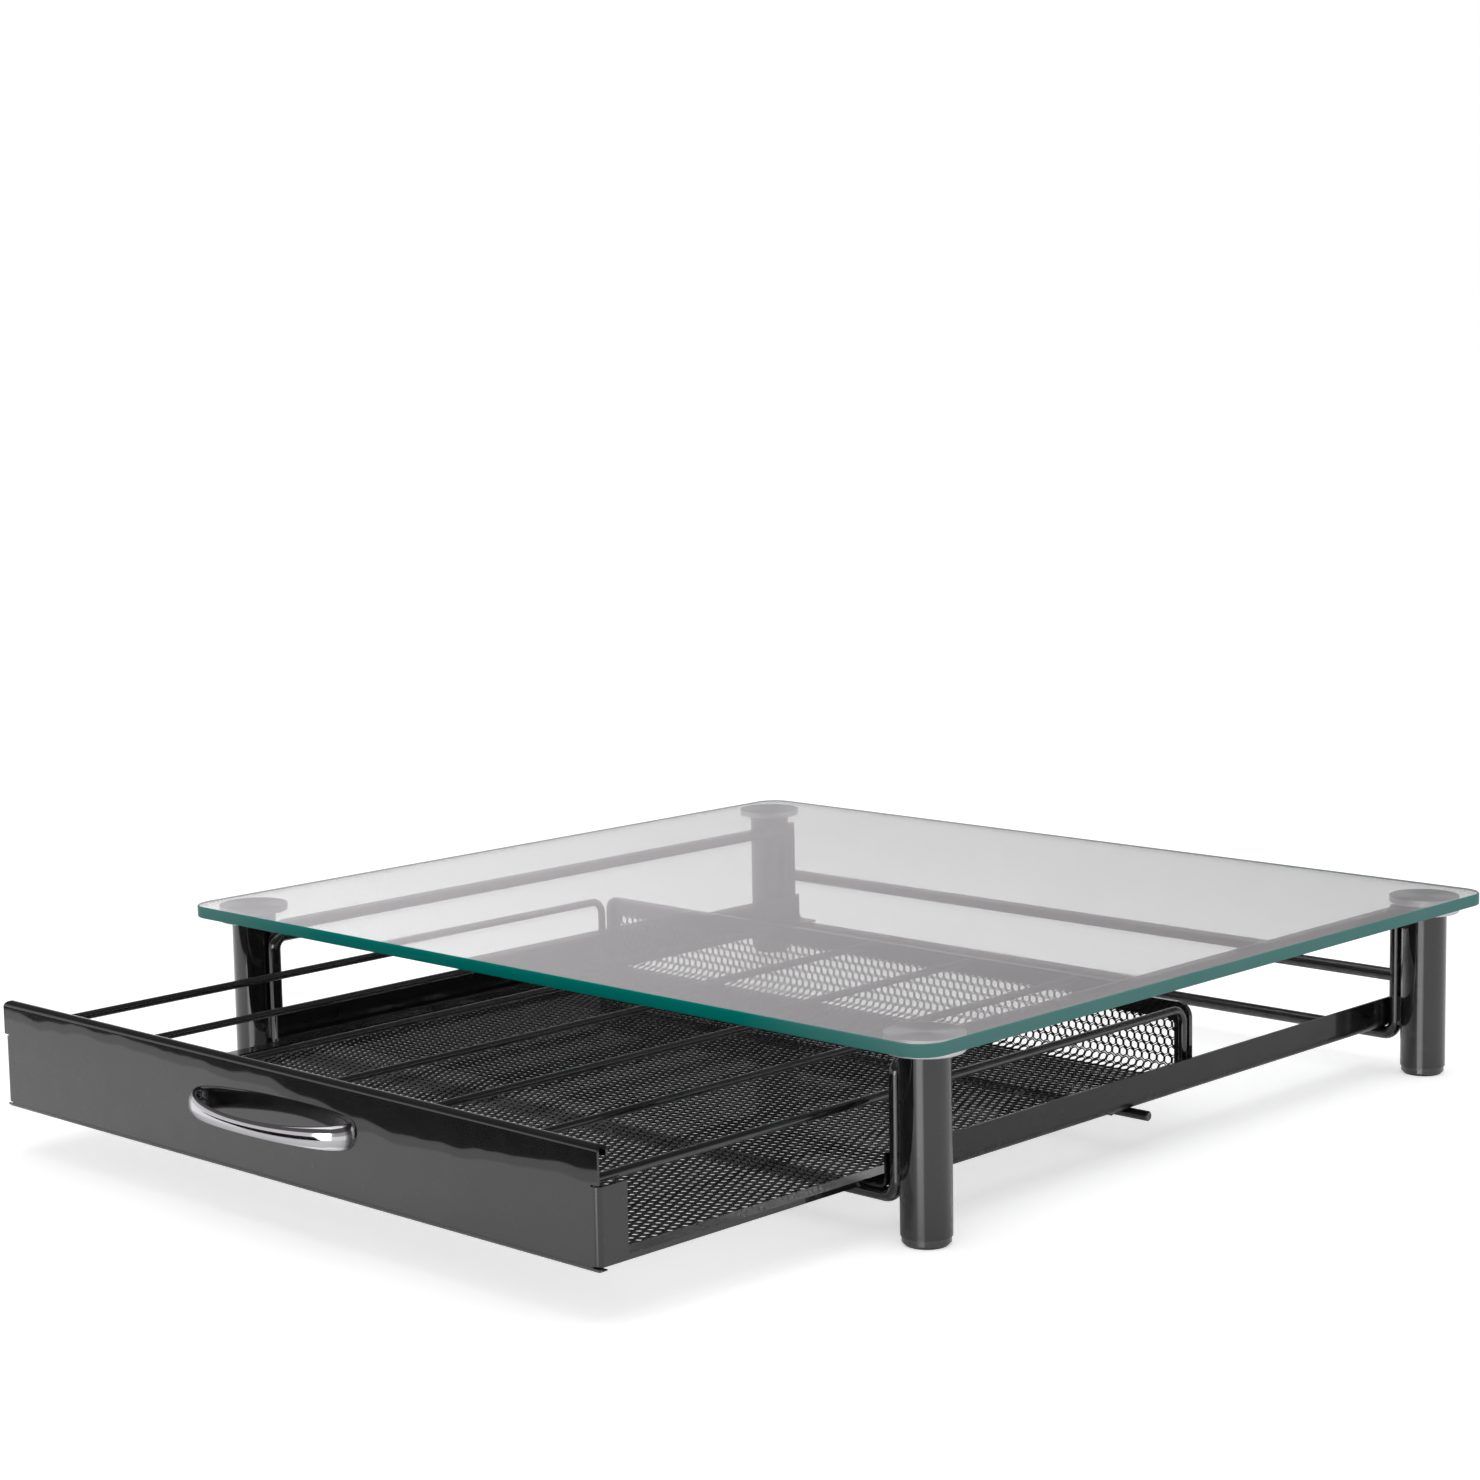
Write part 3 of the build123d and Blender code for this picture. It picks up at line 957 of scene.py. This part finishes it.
@dataclass
class Studio:
    """White floor, white surroundings, one soft lamp and a dark card."""

    floor_size: float = 30.0
    paper: str = "#e9e9ea"
    paper_glow: float = 0.50
    paper_shine: float = 0.40
    paper_roughness: float = 0.04
    wall: str = "#fffbfe"
    room_light: float = 0.68
    peak: float = 5.0
    walls: tuple[WallStretch, ...] = (
        WallStretch(-180, 0.06),
        WallStretch(-149, 0.06),
        WallStretch(-123, 0.135),
        WallStretch(-90, 0.15),
        WallStretch(-3, 0.15),
        WallStretch(7, 1.0),
        WallStretch(25, 1.0),
        WallStretch(35, 0.09),
        WallStretch(100, 0.08),
        WallStretch(150, 0.06),
    )
    ceiling: tuple[CeilingRing, ...] = (
        CeilingRing(0.0, 0.02),
        CeilingRing(0.82, 0.02),
        CeilingRing(0.87, 0.12),
        CeilingRing(0.92, 0.08),
        CeilingRing(0.99, 0.03),
    )
    # Steepness over which the walls give way to the ceiling.
    wall_top: Pair = (0.26, 0.32)
    lamp: Softbox = Softbox(
        name="overhead_softbox",
        place=(-0.1, -0.3, 2.2),
        aim=(0.0, 0.0, 0.0),
        size=(2.4, 2.4),
        watts=14.0,
    )
    card: StudioCard = StudioCard(
        "black_studio_card",
        "#1c181c",
        (
            (-0.6, -0.385),
            (-0.36, -0.377),
            (-0.20, -0.377),
            (-0.14, -0.364),
            (-0.10, -0.354),
            (-0.05, -0.348),
            (0.0, -0.358),
            (0.06, -0.366),
            (0.06, -1.2),
            (-0.8, -1.2),
        ),
    )

    def plain_view(self, tree: bpy.types.NodeTree, path: bpy.types.Node) -> bpy.types.Node:
        """Tell the camera's own view, also through glass, from all other light.

        Args:
            tree: The node tree to add to.
            path: The light path node of that tree.

        Returns:
            A node whose value is 1 for that view and 0 for the rest.
        """
        return add_node(
            tree,
            "ShaderNodeMath",
            {"operation": "MAXIMUM"},
            {0: (path, "Is Camera Ray"), 1: (path, "Is Transmission Ray")},
        )

    def ramp(
        self, tree: bpy.types.NodeTree, source: bpy.types.Node, levels: Sequence[Pair]
    ) -> bpy.types.Node:
        """Run a brightness through a row of levels.

        Args:
            tree: The node tree to add to.
            source: Node whose first value runs from 0 to 1.
            levels: Place from 0 to 1 and brightness of each stop, in order.

        Returns:
            A node whose value is the brightness.
        """
        node = add_node(tree, "ShaderNodeValToRGB", None, {0: (source, 0)})
        stops = node.color_ramp.elements
        stops.remove(stops[0])
        for place, level in levels:
            stop = stops.new(place)
            stop.color = (level, level, level, 1)
        stops.remove(stops[len(stops) - 1])
        return add_node(
            tree, "ShaderNodeMath", {"operation": "MULTIPLY", 1: self.peak}, {0: (node, 0)}
        )

    def panorama(self, tree: bpy.types.NodeTree) -> bpy.types.Node:
        """Brightness of walls and ceiling as mirrors see them.

        Args:
            tree: The node tree to add to.

        Returns:
            A node whose value is the brightness in the direction looked at.
        """
        toward = add_node(tree, "ShaderNodeTexCoord")
        axes = add_node(tree, "ShaderNodeSeparateXYZ", None, {0: (toward, "Generated")})
        front = add_node(tree, "ShaderNodeMath", {"operation": "MULTIPLY", 1: -1.0}, {0: (axes, 1)})
        azimuth = add_node(
            tree, "ShaderNodeMath", {"operation": "ARCTAN2"}, {0: (axes, 0), 1: (front, 0)}
        )
        turn = map_range(tree, (azimuth, 0), (-math.pi, math.pi))
        lit = self.ramp(tree, turn, [(s.azimuth_deg / 360 + 0.5, s.level) for s in self.walls])
        rise = map_range(tree, (axes, 2), self.wall_top)
        steep = add_node(tree, "ShaderNodeMath", {"operation": "MAXIMUM", 1: 0.0}, {0: (axes, 2)})
        top = self.ramp(tree, steep, [(r.steepness, r.level) for r in self.ceiling])
        return add_node(
            tree,
            "ShaderNodeMix",
            {"data_type": "FLOAT"},
            {0: (rise, 0), 2: (lit, 0), 3: (top, 0)},
        )

    def room(self) -> None:
        """Set the white surroundings."""
        world = bpy.data.worlds.new("white_room")
        world.use_nodes = True
        tree = world.node_tree
        tree.nodes.clear()
        path = add_node(tree, "ShaderNodeLightPath")
        plain = self.plain_view(tree, path)
        direct = map_range(tree, (plain, 0), end=(self.room_light, 1.0))
        level = add_node(
            tree,
            "ShaderNodeMix",
            {"data_type": "FLOAT"},
            {0: (path, "Is Glossy Ray"), 2: (direct, 0), 3: (self.panorama(tree), 0)},
        )
        hue = add_node(
            tree,
            "ShaderNodeMix",
            {"data_type": "RGBA", 6: (1, 1, 1, 1), 7: linear(self.wall)},
            {0: (path, "Is Glossy Ray")},
        )
        glow = add_node(
            tree, "ShaderNodeBackground", None, {"Color": (hue, 2), "Strength": (level, 0)}
        )
        add_node(tree, "ShaderNodeOutputWorld", None, {"Surface": (glow, 0)})
        bpy.context.scene.world = world

    def floor(self) -> None:
        """Lay the white floor: it keeps the shadow, and only mirrors see it shine."""
        material = new_material("white_studio_paper")
        tree = material.node_tree
        path = add_node(tree, "ShaderNodeLightPath")
        plain = self.plain_view(tree, path)
        level = add_node(
            tree, "ShaderNodeMath", {"operation": "MULTIPLY", 1: self.paper_glow}, {0: (plain, 0)}
        )
        shine = add_node(
            tree,
            "ShaderNodeMath",
            {"operation": "MULTIPLY", 1: self.paper_shine},
            {0: (path, "Is Glossy Ray")},
        )
        paper = add_node(tree, "ShaderNodeBsdfDiffuse", {"Color": linear(self.paper)})
        glow = add_node(
            tree, "ShaderNodeEmission", {"Color": (1, 1, 1, 1)}, {"Strength": (level, 0)}
        )
        mirror = add_node(
            tree,
            "ShaderNodeBsdfGlossy",
            {"Roughness": self.paper_roughness},
            {"Color": (shine, 0)},
        )
        both = add_node(tree, "ShaderNodeAddShader", None, {0: (paper, 0), 1: (glow, 0)})
        every = add_node(tree, "ShaderNodeAddShader", None, {0: (both, 0), 1: (mirror, 0)})
        add_node(tree, "ShaderNodeOutputMaterial", None, {"Surface": (every, 0)})
        deselect_all()
        bpy.ops.mesh.primitive_plane_add(size=self.floor_size, location=(0, 0, 0))
        floor = bpy.context.object
        floor.name = "studio_floor"
        floor.data.materials.append(material)

    def build(self) -> None:
        """Build the whole studio."""
        self.room()
        self.floor()
        self.card.build()
        self.lamp.build()
        bpy.context.scene.view_settings.view_transform = "Standard"


def main() -> None:
    """Build the looks of the coffee pod drawer."""
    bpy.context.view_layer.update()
    PhotoCamera().build()
    Studio().build()
    enamel = BakedEnamel().build()
    sheet_enamel = BakedEnamel(name="black_enamel_on_sheet", wave_strength=0.25).build()
    rail_enamel = BakedEnamel(name="black_enamel_on_rails", skin_weight=0.45).build()
    net_enamel = BakedEnamel(
        name="black_enamel_on_net", roughness=(0.425, 0.625), skin_weight=0.25
    ).build()
    dress_slot(Slot.PAINT, enamel)
    dress_node("drawer_front", sheet_enamel)
    dress_node("slide_rail_left", rail_enamel)
    dress_node("slide_rail_right", rail_enamel)
    dress_slot(Slot.DISC, TurnedAluminium().build())
    dress_slot(Slot.PLASTIC, MouldedPlastic().build())
    dress_slot(Slot.ZINC, ZincPlate().build())
    GlassTop().build(FloatGlass().build(), GlassEdge().build())
    ExpandedNet().build(net_enamel)
    BowHandle().build(ChromePlate().build())


if __name__ == "__main__":
    main()
